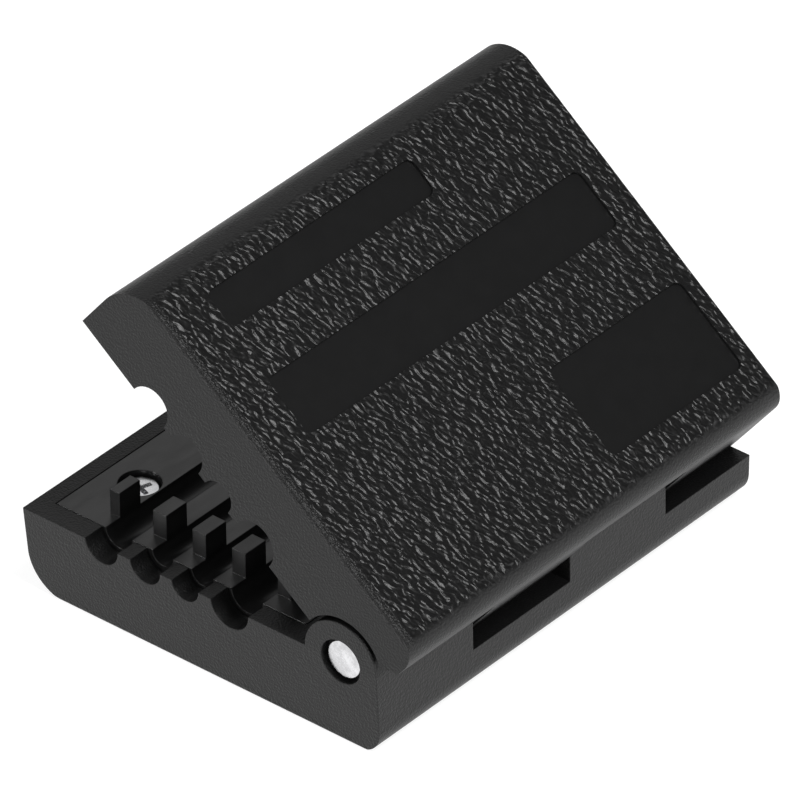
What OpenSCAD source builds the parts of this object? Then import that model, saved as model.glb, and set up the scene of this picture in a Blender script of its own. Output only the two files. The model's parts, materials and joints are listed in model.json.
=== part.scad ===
// Loose-tube slitting stripper: two hinged half shells, each with a grooved
// guide block, four slitting blades and their retainer.  Sizes in millimetres.

/* [Body] */
// Length along the hinge line
body_length = 50; // [44:0.5:70]
// Width from the opening edge to the hinge wall
body_width = 39.7; // [38:0.1:56]
// Height of one half
half_height = 8.3; // [7:0.1:12]
// Thickness of the floor of each half
floor_thickness = 2; // [1.4:0.1:2.4]
// Thickness of the end walls
end_wall = 2.2; // [1.4:0.1:4]
// Thickness of the wall at the opening edge
edge_wall = 1.75; // [1.2:0.05:3]
// Radius of the long outer edge on the opening side
edge_radius = 4.2; // [1.5:0.1:5]
// Radius of the long outer edge on the hinge side
back_radius = 2.3; // [0.8:0.1:2.6]
// Radius of the short outer edges
end_radius = 0.3; // [0.2:0.1:1.8]
// Draft of the opening-side wall of the base over its height
wall_draft = 0.25; // [0:0.05:0.5]
// Draft of the end faces over their height
end_draft = 0.3; // [0.1:0.05:0.5]
// How far the opening edge of the lid stands out over the base
lid_overhang = 0.35; // [0.1:0.05:1]
// Gap between the two closed halves
parting_gap = 0.1; // [0.05:0.05:0.3]

/* [Hinge] */
// Angle between the halves in the open rest position
open_angle = 38.7; // [20:0.1:60]
// Radius of the hinge pin
pin_radius = 1.75; // [1:0.05:2]
// Radius of the base knuckles
knuckle_radius = 3.95; // [3.2:0.05:4.6]
// Radial clearance from a base knuckle to the lid
knuckle_clearance = 0.45; // [0.2:0.05:0.6]
// Length of the first base knuckle
knuckle_length = 12.6; // [9:0.05:14]
// Length of the slot for the first lid knuckle
slot_length = 12.9; // [9:0.05:14]
// Length of the second base knuckle
mid_knuckle_length = 12.85; // [9:0.05:14]
// End gap between neighbouring knuckles
knuckle_gap = 0.2; // [0.1:0.05:0.5]
// Amount by which the lid knuckles are smaller than the base knuckles
lid_knuckle_relief = 0.2; // [0.1:0.05:0.4]
// Gap under the stop heel when the lid rests on it
stop_gap = 0.03; // [0.02:0.01:0.1]
// Direction in which the heel of the lid starts
heel_angle = 57.4; // [50:0.1:70]
// Radial clearance of the pin in the base
pin_fit_base = 0.02; // [0.01:0.01:0.05]
// Radial clearance of the pin in the lid
pin_fit_lid = 0.06; // [0.03:0.01:0.1]
// Radius of the counterbore at the pin ends
pin_recess_radius = 2.15; // [1.9:0.05:2.6]
// Depth of that counterbore
pin_recess_depth = 1; // [0.6:0.1:2]
// How far the pin ends lie below the end faces
pin_inset = 0.5; // [0.2:0.1:0.9]

/* [Channels] */
// Distance of the first channel from the opening edge
channel_offset = 8.95; // [8:0.05:10.5]
// Spacing of the first and second channel
pitch_1 = 4.95; // [4.4:0.05:6]
// Spacing of the second and third channel
pitch_2 = 4.5; // [4.1:0.05:6]
// Spacing of the third and fourth channel
pitch_3 = 5; // [4.5:0.05:6]
// Radius of the first channel
channel_radius_1 = 1.5; // [0.9:0.05:1.8]
// Radius of the second channel
channel_radius_2 = 1.15; // [0.8:0.05:1.5]
// Radius of the third channel
channel_radius_3 = 1.2; // [0.8:0.05:1.5]
// Radius of the fourth channel
channel_radius_4 = 1.75; // [0.9:0.05:1.9]
// Radius of the base end notch of the first channel
base_notch_1 = 1.85; // [1.2:0.05:2]
// Radius of the base end notch of the second channel
base_notch_2 = 1.7; // [1.2:0.05:2]
// Radius of the base end notch of the third channel
base_notch_3 = 1.5; // [1.2:0.05:2]
// Radius of the base end notch of the fourth channel
base_notch_4 = 2.1; // [1.2:0.05:2.4]
// Radius of the lid end notch of the first channel
lid_notch_1 = 2.05; // [1.2:0.05:2.2]
// Radius of the lid end notch of the second channel
lid_notch_2 = 1.95; // [1.2:0.05:2.2]
// Radius of the lid end notch of the third channel
lid_notch_3 = 1.6; // [1.2:0.05:2.2]
// Radius of the lid end notch of the fourth channel
lid_notch_4 = 2.3; // [1.2:0.05:2.5]

/* [Guide blocks] */
// Gap between a guide block and its housing
block_gap = 0.1; // [0.05:0.05:0.3]
// Wall between the guide block and the hinge knuckles
hinge_wall = 1.3; // [0.8:0.1:2]
// Height of the posts above the parting face
post_height = 2.5; // [1.5:0.1:3]
// Width of a post across the channels
post_width = 1.5; // [1:0.1:1.7]
// Width of the outermost post
first_post_width = 1.1; // [0.8:0.1:1.5]
// Length of a post along the channels
post_length = 2.65; // [1.5:0.05:4]
// Distance of the posts from the end of their block
post_inset = 1.85; // [1:0.05:3]
// Step from the last channel to the last post
last_post_step = 0.1; // [0:0.05:0.5]
// Clearance of a post in its socket in the lid
socket_clearance = 0.6; // [0.5:0.05:0.7]
// Clearance above a post in its socket
socket_depth_clearance = 0.5; // [0.3:0.1:1]

/* [Blades] */
// Thickness of a blade
blade_thickness = 0.4; // [0.25:0.05:0.6]
// Length of a blade at its foot
blade_length = 12; // [8:0.5:16]
// Length of the cutting edge
blade_edge_length = 2.4; // [1:0.1:5]
// Height of the straight foot of a blade
blade_foot = 1.4; // [0.8:0.1:2]
// How far a blade stands out of the channel floor
blade_bite = 0.55; // [0.3:0.05:0.9]
// Clearance round a blade in its slot
blade_clearance = 0.05; // [0.03:0.01:0.1]
// Width of the blade retainer along the channels
retainer_width = 8; // [6:0.5:11]
// Thickness of the blade retainer
retainer_thickness = 1; // [0.8:0.1:1.4]
// Distance of the retainer screws inward from the outer channels
retainer_screw_offset = 2.5; // [2.2:0.1:2.8]
// Margin of the retainer beyond the outer channels
retainer_margin = 2; // [1.5:0.1:2.5]

/* [Fasteners] */
// Radius of the guide block screw heads
head_radius = 1.75; // [1.5:0.05:1.8]
// Height of the guide block screw heads
head_height = 1.3; // [1:0.1:1.5]
// Radius of the screw shanks
shank_radius = 1; // [0.7:0.05:1.1]
// Radius of the counterbores for the screw heads
counterbore_radius = 1.95; // [1.85:0.05:2.1]
// Depth of the screw heads below the parting face
head_inset = 0.5; // [0.2:0.1:0.8]
// Distance of the block screws from the ends of the body
screw_end_offset = 9.1; // [7:0.1:11]
// Distance of the front screws from the opening edge
front_screw_offset = 5.35; // [5:0.05:5.6]
// Distance of the rear screws from the hinge wall
rear_screw_offset = 12.15; // [11.9:0.05:12.4]
// Radius of the screw bosses
boss_radius = 2.3; // [2:0.05:2.4]
// Height of the screw bosses above the floor
boss_height = 3; // [2.4:0.1:3.2]
// Outer radius of the threaded inserts
bush_radius = 1.6; // [1.4:0.05:1.7]
// Radial clearance of fastened pieces
fit_gap = 0.05; // [0.02:0.01:0.1]
// Radius of the countersunk retainer screw heads
csk_radius = 1.8; // [1.5:0.05:1.85]
// Length of the retainer screws
retainer_screw_length = 4.4; // [3:0.1:4.6]

/* [Lid panels] */
// Depth of the smooth panels
panel_depth = 0.3; // [0.15:0.05:0.6]
// Corner radius of the panels
panel_corner = 0.8; // [0.3:0.1:1.5]
// Distance of the narrow panel from the near end
narrow_end = 5.8; // [4:0.1:12]
// Length of the narrow panel
narrow_length = 26.6; // [10:0.1:28]
// Distance of the narrow panel from the opening edge
narrow_offset = 4.3; // [4:0.1:6]
// Width of the narrow panel
narrow_width = 3.75; // [2:0.05:5]
// Distance of the long panel from the near end
long_end = 5.4; // [3:0.1:12]
// Length of the long panel
long_length = 41; // [20:0.1:41.5]
// Distance of the long panel from the opening edge
long_offset = 13.2; // [11.5:0.1:15]
// Width of the long panel
long_width = 5.95; // [3:0.05:8]
// Distance of the square panel from the far end
square_end = 2.1; // [1.6:0.1:6]
// Length of the square panel
square_length = 17.7; // [8:0.1:24]
// Distance of the square panel from the hinge wall
square_offset = 4.4; // [2:0.1:6]
// Width of the square panel
square_width = 9.3; // [5:0.1:10]

/* [Hidden] */
$fn = 64;
e = 1;                                   // run-out of cuts past a face
hl = body_length / 2;
hw = body_width / 2;
hinge_y = hw - knuckle_radius;
hinge_z = half_height;
lid_top = 2 * half_height + parting_gap;
slot_depth = knuckle_radius + stop_gap + 0.02;
clear_radius = knuckle_radius + knuckle_clearance;
// hinge stations along X, from the near end to the far end
x_knuckle_1 = hl - knuckle_length;
x_slot_1 = x_knuckle_1 - slot_length;
x_knuckle_2 = x_slot_1 - mid_knuckle_length;
base_spans = [[x_knuckle_1, hl], [x_knuckle_2, x_slot_1]];
lid_spans = [[x_slot_1, x_knuckle_1], [-hl, x_knuckle_2]];
// guide block cavity
cav_x = hl - end_wall;
cav_y0 = -hw + edge_wall;
cav_y1 = hinge_y - clear_radius - hinge_wall;
block_x = cav_x - block_gap;
block_y0 = cav_y0 + block_gap;
block_y1 = cav_y1 - block_gap;
// channels
ch_y1 = -hw + channel_offset;
ch_y2 = ch_y1 + pitch_1;
ch_y3 = ch_y2 + pitch_2;
ch_y4 = ch_y3 + pitch_3;
channel_y = [ch_y1, ch_y2, ch_y3, ch_y4];
channel_r = [channel_radius_1, channel_radius_2, channel_radius_3, channel_radius_4];
base_notch = [base_notch_1, base_notch_2, base_notch_3, base_notch_4];
lid_notch = [lid_notch_1, lid_notch_2, lid_notch_3, lid_notch_4];
// posts: [opening-side face, width]
posts = [
    [ch_y1 - channel_radius_1 - first_post_width, first_post_width],
    [ch_y2 - channel_radius_2 - post_width, post_width],
    [ch_y3 - channel_radius_3 - post_width, post_width],
    [ch_y4 - channel_radius_4 - post_width, post_width],
    [ch_y4 + channel_radius_4 + last_post_step, post_width]];
post_x = block_x - post_inset;
// screws
screw_x = hl - screw_end_offset;
screw_y = [-hw + front_screw_offset, hw - rear_screw_offset];
boss_top = floor_thickness + boss_height;
head_top = half_height - head_inset;
head_seat = head_top - head_height;
csk_y = [ch_y1 + retainer_screw_offset, ch_y4 - retainer_screw_offset];
retainer_y = [ch_y1 - retainer_margin, ch_y4 + retainer_margin];
csk_depth = csk_radius - shank_radius;
retainer_top = floor_thickness + retainer_thickness;
// stop heel of the lid knuckles, about the hinge axis in the closed position
stop_reach = slot_depth - stop_gap;
heel_drop = (stop_reach - knuckle_radius * sin(open_angle)) / cos(open_angle);

shell_col = [0.11, 0.11, 0.115];
block_col = [0.15, 0.15, 0.155];
steel_col = [0.72, 0.73, 0.75];
brass_col = [0.78, 0.62, 0.3];

// ---- helpers -------------------------------------------------------------
module rod_x(r, x0, x1, y, z) {
    translate([x0, y, z]) rotate([0, 90, 0]) cylinder(r = r, h = x1 - x0);
}
module box(x0, x1, y0, y1, z0, z1) {
    translate([x0, y0, z0]) cube([x1 - x0, y1 - y0, z1 - z0]);
}
// a YZ outline run along X
module run_x(x0, x1, pts) {
    translate([x0, 0, 0]) rotate([90, 0, 90]) linear_extrude(x1 - x0) polygon(pts);
}
// puts a piece modelled on the closed lid at its open rest position
module in_lid() {
    translate([0, hinge_y, hinge_z]) rotate([-open_angle, 0, 0])
        translate([0, -hinge_y, -hinge_z]) children();
}
// turns a piece of the base half into its twin in the lid half
module flipped() {
    translate([0, 0, lid_top]) mirror([0, 0, 1]) children();
}
module at_screws() {
    for (x = [-screw_x, screw_x], y = screw_y) translate([x, y, 0]) children();
}

// outer form of one half along X, outer face down; over is the overhang at the opening edge
module half_profile(over, draft) {
    y0 = -hw - over;
    yd = y0 + draft;
    intersection() {
        union() {
            run_x(-hl, hl, [[y0, half_height], [yd, edge_radius],
                [yd + edge_radius, edge_radius], [yd + edge_radius, 0], [hw - back_radius, 0],
                [hw - back_radius, back_radius], [hw, back_radius], [hw, half_height]]);
            rod_x(edge_radius, -hl, hl, yd + edge_radius, edge_radius);
            rod_x(back_radius, -hl, hl, hw - back_radius, back_radius);
        }
        box(-hl - e, hl + e, y0 - e, hw + e, -e, half_height);
    }
}
// drafted end faces and short outer edges; straight above the parting face
module end_form() {
    xd = hl - end_draft;
    top = half_height + knuckle_radius + e;
    depth = body_width + 2 * lid_overhang + 4 * e;
    translate([0, depth / 2, 0]) rotate([90, 0, 0]) linear_extrude(depth)
        polygon([[end_radius - xd, 0], [xd - end_radius, 0], [xd - end_radius, end_radius],
            [xd, end_radius], [hl, half_height], [hl, top], [-hl, top], [-hl, half_height],
            [-xd, end_radius], [end_radius - xd, end_radius]]);
    for (x = [-1, 1]) translate([x * (xd - end_radius), depth / 2, end_radius])
        rotate([90, 0, 0]) cylinder(r = end_radius, h = depth);
}
// hollow for the guide block, with its screw bosses left standing
module half_cavity() {
    difference() {
        box(-cav_x, cav_x, cav_y0, cav_y1, floor_thickness, half_height + e);
        at_screws() cylinder(r = boss_radius, h = boss_top);
    }
    at_screws() translate([0, 0, floor_thickness])
        cylinder(r = bush_radius + fit_gap, h = boss_height + e);
}
module end_notches(r) {
    for (i = [0:3], s = [-1, 1])
        rod_x(r[i], min(s * cav_x, s * (hl + e)), max(s * cav_x, s * (hl + e)),
            channel_y[i], half_height);
}
module blade_outline(i, c) {
    z0 = retainer_top;
    z2 = half_height - channel_r[i] + blade_bite;
    polygon([[-blade_length / 2 - c, z0 - 2 * c], [blade_length / 2 + c, z0 - 2 * c],
        [blade_length / 2 + c, z0 + blade_foot + c],
        [blade_edge_length / 2 + c, z2 + c], [-blade_edge_length / 2 - c, z2 + c],
        [-blade_length / 2 - c, z0 + blade_foot + c]]);
}
module half_blade(i, c = 0) {
    t = blade_thickness + 2 * c;
    translate([0, channel_y[i] + t / 2, 0]) rotate([90, 0, 0])
        linear_extrude(t) blade_outline(i, c);
}
module guide_block_body() {
    difference() {
        box(-block_x, block_x, block_y0, block_y1, floor_thickness, half_height);
        for (i = [0:3]) {
            rod_x(channel_r[i], -block_x - e, block_x + e, channel_y[i], half_height);
            half_blade(i, blade_clearance);
        }
        at_screws() {
            translate([0, 0, head_seat]) cylinder(r = counterbore_radius, h = half_height);
            cylinder(r = shank_radius + 3 * fit_gap, h = half_height);
            cylinder(r = boss_radius + 3 * fit_gap, h = boss_top + fit_gap);
        }
        box(-retainer_width / 2 - fit_gap, retainer_width / 2 + fit_gap,
            retainer_y[0] - fit_gap, retainer_y[1] + fit_gap, floor_thickness - e,
            retainer_top);
        for (y = csk_y) translate([0, y, 0]) cylinder(r = shank_radius + fit_gap,
            h = floor_thickness + retainer_screw_length + 2 * fit_gap);
    }
}
module half_retainer() {
    difference() {
        box(-retainer_width / 2, retainer_width / 2, retainer_y[0], retainer_y[1],
            floor_thickness, retainer_top);
        for (y = csk_y) translate([0, y, floor_thickness]) {
            translate([0, 0, -e]) cylinder(r = shank_radius + fit_gap, h = retainer_thickness + 2 * e);
            cylinder(r1 = csk_radius + fit_gap, r2 = shank_radius + fit_gap, h = csk_depth);
        }
    }
}
module half_retainer_screws() {
    for (y = csk_y) translate([0, y, floor_thickness]) union() {
        cylinder(r1 = csk_radius, r2 = shank_radius, h = csk_depth);
        cylinder(r = shank_radius, h = retainer_screw_length);
    }
}
module half_block_screws() {
    at_screws() difference() {
        union() {
            translate([0, 0, head_seat]) cylinder(r = head_radius, h = head_height);
            translate([0, 0, floor_thickness + 2 * fit_gap])
                cylinder(r = shank_radius, h = head_seat - floor_thickness);
        }
        for (a = [0, 90]) rotate([0, 0, a])
            translate([-head_radius * 0.6, -head_radius * 0.12, head_top - head_height * 0.5])
                cube([head_radius * 1.2, head_radius * 0.24, head_height]);
    }
}
module half_threaded_inserts() {
    at_screws() translate([0, 0, floor_thickness]) difference() {
        cylinder(r = bush_radius, h = boss_height);
        translate([0, 0, -e]) cylinder(r = shank_radius + fit_gap, h = boss_height + 2 * e);
    }
}

// ---- base half -----------------------------------------------------------
module base_shell() color(shell_col) difference() {
    intersection() {
        union() {
            half_profile(0, wall_draft);
            for (s = base_spans) rod_x(knuckle_radius, s[0], s[1], hinge_y, hinge_z);
        }
        end_form();
    }
    half_cavity();
    end_notches(base_notch);
    for (s = lid_spans) box(s[0] < -hl + e ? s[0] - e : s[0], s[1],
        hinge_y - clear_radius, hw + e, hinge_z - slot_depth, half_height + knuckle_radius + e);
    rod_x(pin_radius + pin_fit_base, -hl - e, hl + e, hinge_y, hinge_z);
    rod_x(pin_recess_radius, hl - pin_recess_depth, hl + e, hinge_y, hinge_z);
}
module base_guide_block() color(block_col) union() {
    guide_block_body();
    for (p = posts, s = [-1, 1])
        box(s > 0 ? post_x - post_length : -post_x, s > 0 ? post_x : post_length - post_x,
            p[0], p[0] + p[1], half_height, half_height + post_height);
}
module base_blade_1() color(steel_col) half_blade(0);
module base_blade_2() color(steel_col) half_blade(1);
module base_blade_3() color(steel_col) half_blade(2);
module base_blade_4() color(steel_col) half_blade(3);
module base_blade_retainer() color(steel_col) half_retainer();
module base_retainer_screws() color(steel_col) half_retainer_screws();
module base_block_screws() color(steel_col) half_block_screws();
module base_threaded_inserts() color(brass_col) half_threaded_inserts();
module hinge_pin() color(steel_col)
    rod_x(pin_radius, -hl + pin_inset, hl - pin_inset, hinge_y, hinge_z);

// ---- lid half ------------------------------------------------------------
module rounded_pocket(x0, x1, y0, y1, z, d, r) {
    box(x0 + r, x1 - r, y0, y1, z - d, z + e);
    box(x0, x1, y0 + r, y1 - r, z - d, z + e);
    for (x = [x0 + r, x1 - r], y = [y0 + r, y1 - r]) translate([x, y, z - d])
        cylinder(r = r, h = d + e);
}
module lid_knuckles() {
    r = knuckle_radius - lid_knuckle_relief;
    for (s = lid_spans) {
        x0 = s[0] < -hl + e ? s[0] : s[0] + knuckle_gap;
        x1 = s[1] - knuckle_gap;
        rod_x(r, x0, x1, hinge_y, hinge_z);
        run_x(x0, x1, [[hinge_y - r, hinge_z], [hinge_y, hinge_z],
            [hinge_y + stop_reach * sin(open_angle), hinge_z - stop_reach * cos(open_angle)],
            [hw, hinge_z - heel_drop], [hw, half_height + back_radius + 2],
            [hinge_y - r, half_height + back_radius + 2]]);
    }
}
module base_knuckle_room() {
    hx = clear_radius * cos(heel_angle);
    hz = clear_radius * sin(heel_angle);
    out = knuckle_radius + e;
    for (s = base_spans) {
        x0 = s[0] - (s[0] > -hl ? knuckle_gap : 0);
        x1 = s[1] > hl - e ? s[1] + e : s[1] + knuckle_gap;
        rod_x(clear_radius, x0, x1, hinge_y, hinge_z);
        run_x(x0, x1, [[hinge_y, hinge_z - clear_radius], [hinge_y, hinge_z],
            [hinge_y + hx, hinge_z + hz],
            [hinge_y + out, hinge_z + hz + (out - hx) * tan(open_angle)],
            [hinge_y + out, hinge_z - clear_radius]]);
    }
}
module lid_shell() color(shell_col) in_lid() difference() {
    intersection() {
        union() {
            flipped() half_profile(lid_overhang, 0);
            lid_knuckles();
        }
        flipped() end_form();
    }
    flipped() half_cavity();
    flipped() end_notches(lid_notch);
    base_knuckle_room();
    rod_x(pin_radius + pin_fit_lid, -hl - e, hl + e, hinge_y, hinge_z);
    rod_x(pin_recess_radius, -hl - e, -hl + pin_recess_depth, hinge_y, hinge_z);
    rounded_pocket(hl - narrow_end - narrow_length, hl - narrow_end, -hw + narrow_offset,
        -hw + narrow_offset + narrow_width, lid_top, panel_depth, panel_corner);
    rounded_pocket(hl - long_end - long_length, hl - long_end, -hw + long_offset,
        -hw + long_offset + long_width, lid_top, panel_depth, panel_corner);
    rounded_pocket(-hl + square_end, -hl + square_end + square_length,
        hw - square_offset - square_width, hw - square_offset, lid_top, panel_depth,
        panel_corner);
}
module lid_guide_block() color(block_col) in_lid() difference() {
    flipped() guide_block_body();
    for (p = posts, s = [-1, 1])
        box((s > 0 ? post_x - post_length : -post_x) - socket_clearance,
            (s > 0 ? post_x : post_length - post_x) + socket_clearance,
            p[0] - socket_clearance, p[0] + p[1] + socket_clearance,
            half_height, half_height + post_height + socket_depth_clearance);
}
module lid_blade_1() color(steel_col) in_lid() flipped() half_blade(0);
module lid_blade_2() color(steel_col) in_lid() flipped() half_blade(1);
module lid_blade_3() color(steel_col) in_lid() flipped() half_blade(2);
module lid_blade_4() color(steel_col) in_lid() flipped() half_blade(3);
module lid_blade_retainer() color(steel_col) in_lid() flipped() half_retainer();
module lid_retainer_screws() color(steel_col) in_lid() flipped() half_retainer_screws();
module lid_block_screws() color(steel_col) in_lid() flipped() half_block_screws();
module lid_threaded_inserts() color(brass_col) in_lid() flipped() half_threaded_inserts();

base_shell();
base_guide_block();
base_blade_1();
base_blade_2();
base_blade_3();
base_blade_4();
base_blade_retainer();
base_retainer_screws();
base_block_screws();
base_threaded_inserts();
hinge_pin();
lid_shell();
lid_guide_block();
lid_blade_1();
lid_blade_2();
lid_blade_3();
lid_blade_4();
lid_blade_retainer();
lid_retainer_screws();
lid_block_screws();
lid_threaded_inserts();
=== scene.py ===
import json
import math

import bpy
from mathutils import Matrix, Vector


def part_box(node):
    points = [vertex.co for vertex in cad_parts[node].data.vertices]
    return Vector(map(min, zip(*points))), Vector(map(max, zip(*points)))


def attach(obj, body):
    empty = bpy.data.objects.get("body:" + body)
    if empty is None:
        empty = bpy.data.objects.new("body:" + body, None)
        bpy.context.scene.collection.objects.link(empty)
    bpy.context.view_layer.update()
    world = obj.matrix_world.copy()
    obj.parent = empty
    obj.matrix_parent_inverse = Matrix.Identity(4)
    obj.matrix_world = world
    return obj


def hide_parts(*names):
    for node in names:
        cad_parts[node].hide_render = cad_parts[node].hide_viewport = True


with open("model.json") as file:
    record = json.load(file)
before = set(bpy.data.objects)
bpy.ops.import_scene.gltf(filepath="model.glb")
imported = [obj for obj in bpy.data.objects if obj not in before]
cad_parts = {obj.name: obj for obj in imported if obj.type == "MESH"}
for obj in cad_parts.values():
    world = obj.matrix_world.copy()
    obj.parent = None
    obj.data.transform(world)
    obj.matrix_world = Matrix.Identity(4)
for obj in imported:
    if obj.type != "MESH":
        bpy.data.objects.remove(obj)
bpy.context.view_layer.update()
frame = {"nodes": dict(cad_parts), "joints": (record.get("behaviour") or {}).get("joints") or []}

MM = 0.001
HINGE = frame["joints"][0]
HINGE_AT = Vector(HINGE["pos_m"])
OPEN_ANGLE = math.radians(HINGE["range_deg"][1])


# ---- sizes taken from the frame ---------------------------------------------
def corners(node):
    low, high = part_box(node)
    return Vector(low), Vector(high)


BASE_LOW, BASE_HIGH = corners("base_shell")
HALF_LENGTH = BASE_HIGH.x
EDGE_Y = BASE_LOW.y
WALL_Y = BASE_HIGH.y
PARTING_GAP = 0.1 * MM
LID_TOP = 2 * HINGE_AT.z + PARTING_GAP
# the lid in its closed pose -> the lid as it stands open
OPENED = Matrix.Translation(HINGE_AT) @ Matrix.Rotation(-OPEN_ANGLE, 4, "X") \
    @ Matrix.Translation(-HINGE_AT)
# a piece of the base half -> its twin in the closed lid
TWIN = Matrix.Translation((0, 0, LID_TOP)) @ Matrix.Diagonal((1, 1, -1, 1))


# ---- sizes of the surface finishes --------------------------------------------
# leather grain: how far it stays from the ends and long edges of its face, how
# softly it fades there, and the depth below the face over which it ends
GRAIN_TO_FAR_END, GRAIN_TO_NEAR_END = 0.35 * MM, 1.1 * MM
GRAIN_TO_EDGE, GRAIN_TO_WALL = 1.9 * MM, 1.5 * MM
GRAIN_END_FADE, GRAIN_SIDE_FADE = 0.15 * MM, 0.35 * MM
GRAIN_STOP = (1.6 * MM, 2.2 * MM)
# its folds: their height, how far and in what direction they are drawn out
GRAIN_HEIGHT = 0.30 * MM
GRAIN_BEND = 0.55 * MM
GRAIN_TURN = -0.40
GRAIN_STRETCH = 0.5
# recessed panels of the lid, which stay smooth
PANEL_DEPTH = (0.1 * MM, 0.36 * MM)
PANEL_TO_EDGE, PANEL_TO_WALL = 4.1 * MM, 4.2 * MM
PANEL_FADE = 0.02 * MM
# spark texture of the walls, and the rougher strip beside the near end
SPARK_HEIGHT = 0.17 * MM
STRIP_WIDTH = (1.4 * MM, 0.9 * MM)
STRIP_DEPTH = (0.3 * MM, 0.7 * MM)
# small roundings of the sharp edges
BASE_EASE = 0.13 * MM
BLOCK_EASE = 0.14 * MM


# ---- material building blocks -------------------------------------------------
class Graph:
    """A node material, built link by link."""

    def __init__(self, name):
        self.material = bpy.data.materials.new(name)
        self.material.use_nodes = True
        self.tree = self.material.node_tree
        self.tree.nodes.clear()
        self.shader = self.add("ShaderNodeBsdfPrincipled")
        self.out = self.add("ShaderNodeOutputMaterial")
        self.link(self.shader.outputs["BSDF"], self.out.inputs["Surface"])
        self.place = self.add("ShaderNodeTexCoord").outputs["Object"]

    def add(self, kind, **settings):
        node = self.tree.nodes.new(kind)
        for key, value in settings.items():
            setattr(node, key, value)
        return node

    def link(self, a, b):
        self.tree.links.new(a, b)

    def feed(self, socket, value):
        if isinstance(value, bpy.types.NodeSocket):
            self.link(value, socket)
        else:
            socket.default_value = value

    def math(self, operation, a, b=0.0):
        node = self.add("ShaderNodeMath", operation=operation)
        for socket, value in zip(node.inputs, (a, b)):
            self.feed(socket, value)
        return node.outputs[0]

    def moved(self, shift=(0, 0, 0), turn=(0, 0, 0), scale=(1, 1, 1),
              source=None):
        node = self.add("ShaderNodeMapping")
        self.link(source or self.place, node.inputs["Vector"])
        node.inputs["Location"].default_value = shift
        node.inputs["Rotation"].default_value = turn
        node.inputs["Scale"].default_value = scale
        return node.outputs[0]

    def axes(self, source):
        node = self.add("ShaderNodeSeparateXYZ")
        self.link(source, node.inputs[0])
        return node.outputs

    def noise(self, source, scale, detail=2.0, rough=0.5, distortion=0.0,
              output="Fac"):
        node = self.add("ShaderNodeTexNoise")
        self.link(source, node.inputs["Vector"])
        node.inputs["Scale"].default_value = scale
        node.inputs["Detail"].default_value = detail
        node.inputs["Roughness"].default_value = rough
        node.inputs["Distortion"].default_value = distortion
        return node.outputs[output]

    def cells(self, source, scale, smooth):
        node = self.add("ShaderNodeTexVoronoi", feature="SMOOTH_F1")
        self.link(source, node.inputs["Vector"])
        node.inputs["Scale"].default_value = scale
        node.inputs["Smoothness"].default_value = smooth
        return node.outputs["Distance"]

    def ramp(self, value, low, high, out_low=0.0, out_high=1.0):
        node = self.add("ShaderNodeMapRange", interpolation_type="SMOOTHSTEP")
        for key, v in (("Value", value), ("From Min", low), ("From Max", high),
                       ("To Min", out_low), ("To Max", out_high)):
            self.feed(node.inputs[key], v)
        return node.outputs["Result"]

    def between(self, value, low, high, soft):
        """1 where the value lies between low and high, fading out over soft."""
        up = self.ramp(value, low - soft, low + soft)
        down = self.ramp(value, high - soft, high + soft, 1.0, 0.0)
        return self.math("MULTIPLY", up, down)

    def mix(self, factor, a, b):
        node = self.add("ShaderNodeMix", data_type="RGBA")
        sockets = [s for s in node.inputs if s.type == "RGBA"]
        self.feed(node.inputs[0], factor)
        self.feed(sockets[0], a)
        self.feed(sockets[1], b)
        return next(s for s in node.outputs if s.type == "RGBA")

    def eased(self, radius):
        """A normal that rounds the sharp edges off by a small radius."""
        node = self.add("ShaderNodeBevel", samples=4)
        node.inputs["Radius"].default_value = radius
        return node.outputs["Normal"]

    def bump(self, height, distance, strength=1.0, normal=None):
        node = self.add("ShaderNodeBump")
        self.link(height, node.inputs["Height"])
        node.inputs["Distance"].default_value = distance
        self.feed(node.inputs["Strength"], strength)
        if normal is not None:
            self.link(normal, node.inputs["Normal"])
        return node.outputs["Normal"]

    def finish(self, color, roughness, normal, metallic=0.0, sheen=0.5):
        inputs = self.shader.inputs
        inputs["Metallic"].default_value = metallic
        inputs["Specular IOR Level"].default_value = sheen
        self.feed(inputs["Base Color"], color)
        self.feed(inputs["Roughness"], roughness)
        self.link(normal, inputs["Normal"])
        return self.material


def grey(level):
    return (level, level, level * 1.02, 1.0)


def leather_relief(g, place):
    """Long folds with faint pebbles between them."""
    pull = g.add("ShaderNodeVectorMath", operation="SCALE")
    g.link(g.noise(place, 900.0, detail=1.0, output="Color"), pull.inputs[0])
    pull.inputs["Scale"].default_value = GRAIN_BEND
    add = g.add("ShaderNodeVectorMath", operation="ADD")
    g.link(place, add.inputs[0])
    g.link(pull.outputs[0], add.inputs[1])
    bent = add.outputs[0]
    pebbles = g.cells(bent, 2100.0, 0.8)
    turned = g.moved(turn=(0, 0, GRAIN_TURN), source=bent)
    drawn_out = g.moved(scale=(1, GRAIN_STRETCH, 1), source=turned)
    folds = g.noise(drawn_out, 2500.0, detail=0.3, rough=0.4, distortion=0.3)
    return g.math("ADD", g.math("MULTIPLY", pebbles, -0.12), folds)


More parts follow.
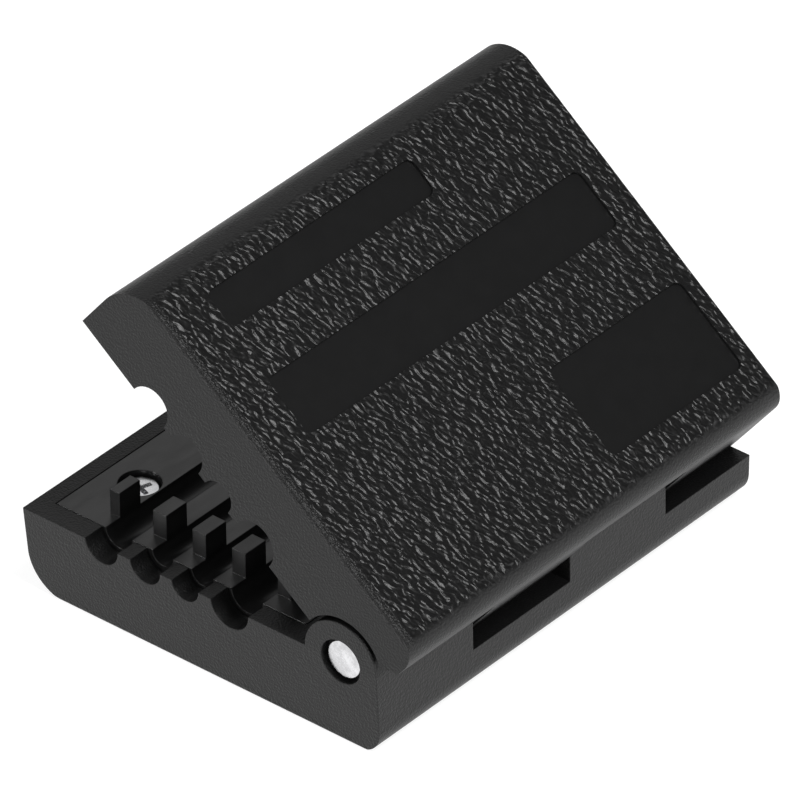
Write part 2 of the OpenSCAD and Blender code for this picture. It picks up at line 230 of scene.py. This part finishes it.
def moulded_shell(name, lid):
    """Black moulded plastic: leather grain on the broad outer face, smooth recessed
    panels, and a fine spark texture on the walls."""
    g = Graph(name)
    if lid:
        centred = g.moved(shift=-HINGE_AT)
        place = g.moved(shift=HINGE_AT, turn=(OPEN_ANGLE, 0, 0), source=centred)
    else:
        place = g.place
    x, y, z = g.axes(place)
    # how far a point lies inside the outer face of its half
    sunk = g.math("SUBTRACT", LID_TOP, z) if lid else z
    along = g.between(x, -HALF_LENGTH + GRAIN_TO_FAR_END,
                      HALF_LENGTH - GRAIN_TO_NEAR_END, GRAIN_END_FADE)
    across = g.between(y, EDGE_Y + GRAIN_TO_EDGE, WALL_Y - GRAIN_TO_WALL,
                       GRAIN_SIDE_FADE)
    broad = g.math("MULTIPLY", g.math("MULTIPLY", along, across),
                   g.ramp(sunk, *GRAIN_STOP, 1.0, 0.0))
    grain = broad
    if lid:
        panels = g.math("MULTIPLY", g.between(sunk, *PANEL_DEPTH, PANEL_FADE),
                        g.between(y, EDGE_Y + PANEL_TO_EDGE, WALL_Y - PANEL_TO_WALL,
                                  PANEL_FADE))
        grain = g.math("MULTIPLY", broad, g.math("SUBTRACT", 1.0, panels))
    spark = g.noise(place, 4600.0, detail=1.0, rough=0.5)
    strip = g.math("MULTIPLY",
                   g.ramp(x, *(HALF_LENGTH - width for width in STRIP_WIDTH)),
                   g.ramp(sunk, *STRIP_DEPTH, 1.0, 0.0))
    calm = g.math("MULTIPLY", g.math("SUBTRACT", 1.0, broad),
                  g.ramp(strip, 0.0, 1.0, 0.4, 1.0))
    normal = g.bump(leather_relief(g, place), GRAIN_HEIGHT, strength=grain,
                    normal=None if lid else g.eased(BASE_EASE))
    normal = g.bump(spark, SPARK_HEIGHT, strength=calm, normal=normal)
    rough = g.ramp(grain, 0.0, 1.0, 0.44, 0.33)
    if lid:
        rough = g.math("SUBTRACT", rough, g.math("MULTIPLY", panels, 0.12))
    tone = g.mix(g.noise(place, 700.0, detail=2.0), grey(0.0035), grey(0.0055))
    return g.finish(tone, rough, normal, sheen=0.32)


def smooth_block(name):
    """The guide blocks: smooth moulded plastic with faint flow marks."""
    g = Graph(name)
    flow = g.noise(g.moved(scale=(0.25, 1, 1)), 900.0, detail=2.0)
    fine = g.noise(g.place, 5200.0, detail=1.0)
    normal = g.bump(flow, 0.012 * MM, strength=0.5, normal=g.eased(BLOCK_EASE))
    normal = g.bump(fine, 0.006 * MM, strength=0.6, normal=normal)
    tone = g.mix(flow, grey(0.005), grey(0.008))
    return g.finish(tone, g.ramp(flow, 0.2, 0.8, 0.3, 0.4), normal, sheen=0.5)


def ground_steel(name, level, along, roughness):
    """Ground steel with fine marks stretched along one axis."""
    g = Graph(name)
    scale = [1, 1, 1]
    scale[along] = 0.06
    marks = g.noise(g.moved(scale=tuple(scale)), 9000.0, detail=2.0, rough=0.6)
    wear = g.noise(g.place, 800.0, detail=4.0, rough=0.65)
    tone = g.mix(g.ramp(wear, 0.35, 0.65), grey(level * 0.7), grey(level))
    normal = g.bump(marks, 0.004 * MM, strength=0.6)
    normal = g.bump(wear, 0.05 * MM, strength=0.5, normal=normal)
    rough = g.ramp(wear, 0.3, 0.7, roughness - 0.05, roughness + 0.08)
    return g.finish(tone, rough, normal, metallic=1.0)


def turned_brass(name):
    """Brass with fine turning rings about the Z axis."""
    g = Graph(name)
    marks = g.noise(g.moved(scale=(0.3, 0.3, 4)), 2500.0, detail=2.0)
    tone = g.mix(marks, (0.55, 0.38, 0.13, 1), (0.68, 0.49, 0.19, 1))
    return g.finish(tone, g.ramp(marks, 0.3, 0.7, 0.26, 0.38),
                    g.bump(marks, 0.006 * MM, strength=0.5), metallic=1.0)


FINISHES = {
    "base_shell": moulded_shell("base_moulding", lid=False),
    "lid_shell": moulded_shell("lid_moulding", lid=True),
    "guide_block": smooth_block("block_moulding"),
    "screws": ground_steel("screw_steel", 0.8, along=2, roughness=0.24),
    "retainer": ground_steel("strip_steel", 0.5, along=1, roughness=0.34),
    "blade_": ground_steel("blade_steel", 0.62, along=0, roughness=0.2),
    "threaded": turned_brass("insert_brass"),
    "hinge_pin": ground_steel("pin_steel", 0.78, along=1, roughness=0.26),
}


def finish_of(node):
    return next(material for word, material in FINISHES.items() if word in node)


def dress(obj, material):
    obj.data.materials.clear()
    obj.data.materials.append(material)


for node, solid in frame["nodes"].items():
    dress(solid, finish_of(node))


# ---- cross-recess screws, one set per half ---------------------------------------
HEAD_RADIUS, HEAD_HEIGHT, SHANK_RADIUS = 1.75 * MM, 1.3 * MM, 1.0 * MM
HEAD_EASE = 0.16 * MM
# the recess, as shares of the head's radius and height
RECESS_HALF_WIDTH, RECESS_HALF_LENGTH, RECESS_DEPTH = 0.13, 0.62, 0.5
LARGEST_TURN = 1.5


def recess(x, y, half_width, half_length):
    """0 on the head, 1 in the recess, for the point x, y of the head."""
    deepest = 0.0
    for along, across in ((abs(x), abs(y)), (abs(y), abs(x))):
        side = min(max((half_width - across) / (0.35 * half_width), 0.0), 1.0)
        end = min(max((half_length - along) / (0.3 * half_length), 0.0), 1.0)
        deepest = max(deepest, side * end)
    return deepest


def screw_form(head_radius, top, head_height, shank_radius, bottom):
    """One screw about the Z axis, head up."""
    turns, rings = 128, 34
    face_radius = head_radius - HEAD_EASE
    verts, faces = [(0.0, 0.0, top - RECESS_DEPTH * head_height)], []
    outline = [(face_radius * (i + 1) / rings, top) for i in range(rings)]
    outline += [(face_radius + HEAD_EASE * math.sin(a),
                 top - HEAD_EASE + HEAD_EASE * math.cos(a))
                for a in (math.pi / 6, math.pi / 3, math.pi / 2)]
    outline += [(head_radius, top - head_height), (shank_radius, top - head_height),
                (shank_radius, bottom)]
    for index, (radius, height) in enumerate(outline):
        for k in range(turns):
            angle = 2 * math.pi * k / turns
            x, y = radius * math.cos(angle), radius * math.sin(angle)
            drop = 0.0
            if index < rings:
                drop = RECESS_DEPTH * head_height * recess(
                    x, y, RECESS_HALF_WIDTH * head_radius,
                    RECESS_HALF_LENGTH * head_radius)
            verts.append((x, y, height - drop))
    for k in range(turns):
        faces.append((0, 1 + k, 1 + (k + 1) % turns))
    for index in range(len(outline) - 1):
        a, b = 1 + index * turns, 1 + (index + 1) * turns
        for k in range(turns):
            n = (k + 1) % turns
            faces.append((a + k, b + k, b + n, a + n))
    last = 1 + (len(outline) - 1) * turns
    verts.append((0.0, 0.0, bottom))
    for k in range(turns):
        faces.append((len(verts) - 1, last + (k + 1) % turns, last + k))
    mesh = bpy.data.meshes.new("screw_form")
    mesh.from_pydata(verts, [], faces)
    mesh.validate()
    return mesh


def screw_set_group():
    """Sets one screw on every point, each turned by its own amount."""
    group = bpy.data.node_groups.new("screw_set", "GeometryNodeTree")
    face = group.interface
    for name, way, kind in (("Places", "INPUT", "NodeSocketGeometry"),
                            ("Screw", "INPUT", "NodeSocketObject"),
                            ("Largest turn", "INPUT", "NodeSocketFloat"),
                            ("Seed", "INPUT", "NodeSocketInt"),
                            ("Finish", "INPUT", "NodeSocketMaterial"),
                            ("Screws", "OUTPUT", "NodeSocketGeometry")):
        face.new_socket(name=name, in_out=way, socket_type=kind)
    nodes, links = group.nodes, group.links
    given = nodes.new("NodeGroupInput")
    form = nodes.new("GeometryNodeObjectInfo")
    turn = nodes.new("FunctionNodeRandomValue")
    turn.data_type = "FLOAT"
    about = nodes.new("ShaderNodeCombineXYZ")
    put = nodes.new("GeometryNodeInstanceOnPoints")
    real = nodes.new("GeometryNodeRealizeInstances")
    coat = nodes.new("GeometryNodeSetMaterial")
    done = nodes.new("NodeGroupOutput")
    floats = [s for s in turn.inputs if s.type == "VALUE"]
    links.new(given.outputs["Screw"], form.inputs["Object"])
    links.new(given.outputs["Largest turn"], next(s for s in floats if s.name == "Max"))
    links.new(given.outputs["Seed"], turn.inputs["Seed"])
    links.new(next(s for s in turn.outputs if s.type == "VALUE"), about.inputs["Z"])
    links.new(given.outputs["Places"], put.inputs["Points"])
    links.new(form.outputs["Geometry"], put.inputs["Instance"])
    links.new(about.outputs[0], put.inputs["Rotation"])
    links.new(put.outputs["Instances"], real.inputs["Geometry"])
    links.new(real.outputs["Geometry"], coat.inputs["Geometry"])
    links.new(given.outputs["Finish"], coat.inputs["Material"])
    links.new(coat.outputs["Geometry"], done.inputs["Screws"])
    return group


def screw_set(group, form, node, body, places, seed, into=None):
    """The screws of one half as a plain mesh, in place of their node."""
    points = bpy.data.meshes.new(node + "_places")
    points.from_pydata(places, [], [])
    piece = bpy.data.objects.new(node + "_set", points)
    bpy.context.scene.collection.objects.link(piece)
    setter = piece.modifiers.new("screws", "NODES")
    setter.node_group = group
    values = {"Screw": form, "Largest turn": LARGEST_TURN, "Seed": seed,
              "Finish": finish_of(node)}
    for item in group.interface.items_tree:
        if item.in_out == "INPUT" and item.name in values:
            setter[item.identifier] = values[item.name]
    bpy.context.view_layer.update()
    shown = piece.evaluated_get(bpy.context.evaluated_depsgraph_get())
    final = bpy.data.meshes.new_from_object(shown)
    piece.modifiers.clear()
    piece.data = final
    if into is not None:
        final.transform(into)
        if into.determinant() < 0:
            final.flip_normals()
    final.polygons.foreach_set("use_smooth", [True] * len(final.polygons))
    final.set_sharp_from_angle(angle=math.radians(34))
    dress(piece, finish_of(node))
    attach(piece, body)
    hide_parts(node)


def all_screws():
    low, high = corners("base_block_screws")
    places = [(x, y, 0.0) for x in (low.x + HEAD_RADIUS, high.x - HEAD_RADIUS)
              for y in (low.y + HEAD_RADIUS, high.y - HEAD_RADIUS)]
    form = bpy.data.objects.new("screw_form", screw_form(
        HEAD_RADIUS, high.z, HEAD_HEIGHT, SHANK_RADIUS, low.z))
    bpy.context.scene.collection.objects.link(form)
    group = screw_set_group()
    screw_set(group, form, "base_block_screws", "base", places, seed=3)
    screw_set(group, form, "lid_block_screws", "lid", places, seed=8,
              into=OPENED @ TWIN)
    bpy.data.objects.remove(form)


all_screws()


# ---- studio ----------------------------------------------------------------------
CENTRE = (0, 0, 0.015)
FLOOR_HALF = 3.0
FLOOR_DROP = 0.02 * MM
FLOOR_GLOW, FLOOR_GLOW_SHARE = 1.25, 0.62
ROOM_LIGHT, ROOM_LIGHT_IN_GLOSS = 0.5, 0.13
# name, size, place and power of each lamp
LAMPS = (("key", (0.15, 0.8), (0.06, 0.5, 0.62), 7.5),
         ("back", (0.5, 0.5), (-0.55, -0.46, 0.5), 0.55),
         ("front", (0.3, 0.2), (0.66, 0.28, 0.46), 1.3),
         ("side", (0.12, 0.12), (0.42, -0.38, 0.46), 1.4))
# the camera's axes and place
CAMERA_RIGHT = Vector((-0.6459422, 0.76326605, -0.0135504))
CAMERA_UP = Vector((-0.44135071, -0.35890862, 0.82243185))
CAMERA_BACK = Vector((0.62287096, 0.53722392, 0.56870224))
CAMERA_AT = Vector((668.096, 577.713, 625.336)) * MM
CAMERA_LENS = 562.94


def soft_lamp(name, size, place, power):
    data = bpy.data.lights.new(name, "AREA")
    data.shape = "RECTANGLE"
    data.size, data.size_y = size
    data.energy = power
    lamp = bpy.data.objects.new(name, data)
    bpy.context.scene.collection.objects.link(lamp)
    lamp.location = place
    direction = Vector(CENTRE) - Vector(place)
    lamp.rotation_euler = direction.to_track_quat("-Z", "Y").to_euler()


def pale_floor():
    g = Graph("studio_floor")
    path = g.add("ShaderNodeLightPath")
    seen = g.math("MAXIMUM", path.outputs["Is Camera Ray"], path.outputs["Is Glossy Ray"])
    plain = g.add("ShaderNodeBsdfDiffuse")
    plain.inputs["Color"].default_value = (0.8, 0.8, 0.8, 1)
    glow = g.add("ShaderNodeEmission")
    glow.inputs["Color"].default_value = (1, 1, 1, 1)
    glow.inputs["Strength"].default_value = FLOOR_GLOW
    mixed = g.add("ShaderNodeMixShader")
    g.link(g.math("MULTIPLY", seen, FLOOR_GLOW_SHARE), mixed.inputs["Fac"])
    g.link(plain.outputs[0], mixed.inputs[1])
    g.link(glow.outputs[0], mixed.inputs[2])
    g.link(mixed.outputs[0], g.out.inputs["Surface"])
    g.tree.nodes.remove(g.shader)
    mesh = bpy.data.meshes.new("floor")
    mesh.from_pydata([(x * FLOOR_HALF, y * FLOOR_HALF, 0)
                      for x, y in ((-1, -1), (1, -1), (1, 1), (-1, 1))],
                     [], [(0, 1, 2, 3)])
    mesh.materials.append(g.material)
    floor = bpy.data.objects.new("floor", mesh)
    bpy.context.scene.collection.objects.link(floor)
    floor.location.z = -FLOOR_DROP


def studio_world():
    world = bpy.data.worlds.new("studio")
    bpy.context.scene.world = world
    world.use_nodes = True
    tree = world.node_tree
    tree.nodes.clear()
    path = tree.nodes.new("ShaderNodeLightPath")
    level = tree.nodes.new("ShaderNodeMapRange")
    tree.links.new(path.outputs["Is Glossy Ray"], level.inputs["Value"])
    level.inputs["To Min"].default_value = ROOM_LIGHT
    level.inputs["To Max"].default_value = ROOM_LIGHT_IN_GLOSS
    soft = tree.nodes.new("ShaderNodeBackground")
    soft.inputs["Color"].default_value = (1, 1, 1, 1)
    tree.links.new(level.outputs["Result"], soft.inputs["Strength"])
    white = tree.nodes.new("ShaderNodeBackground")
    white.inputs["Color"].default_value = (1, 1, 1, 1)
    white.inputs["Strength"].default_value = 1.0
    both = tree.nodes.new("ShaderNodeMixShader")
    tree.links.new(path.outputs["Is Camera Ray"], both.inputs["Fac"])
    tree.links.new(soft.outputs[0], both.inputs[1])
    tree.links.new(white.outputs[0], both.inputs[2])
    out = tree.nodes.new("ShaderNodeOutputWorld")
    tree.links.new(both.outputs[0], out.inputs["Surface"])


def product_camera():
    data = bpy.data.cameras.new("camera")
    data.sensor_width = 36.0
    data.lens = CAMERA_LENS
    data.clip_end = 20.0
    camera = bpy.data.objects.new("camera", data)
    bpy.context.scene.collection.objects.link(camera)
    turn = Matrix((CAMERA_RIGHT, CAMERA_UP, CAMERA_BACK)).transposed()
    camera.matrix_world = Matrix.Translation(CAMERA_AT) @ turn.to_4x4()
    bpy.context.scene.camera = camera


pale_floor()
studio_world()
for lamp in LAMPS:
    soft_lamp(*lamp)
product_camera()
bpy.context.scene.view_settings.view_transform = "Standard"
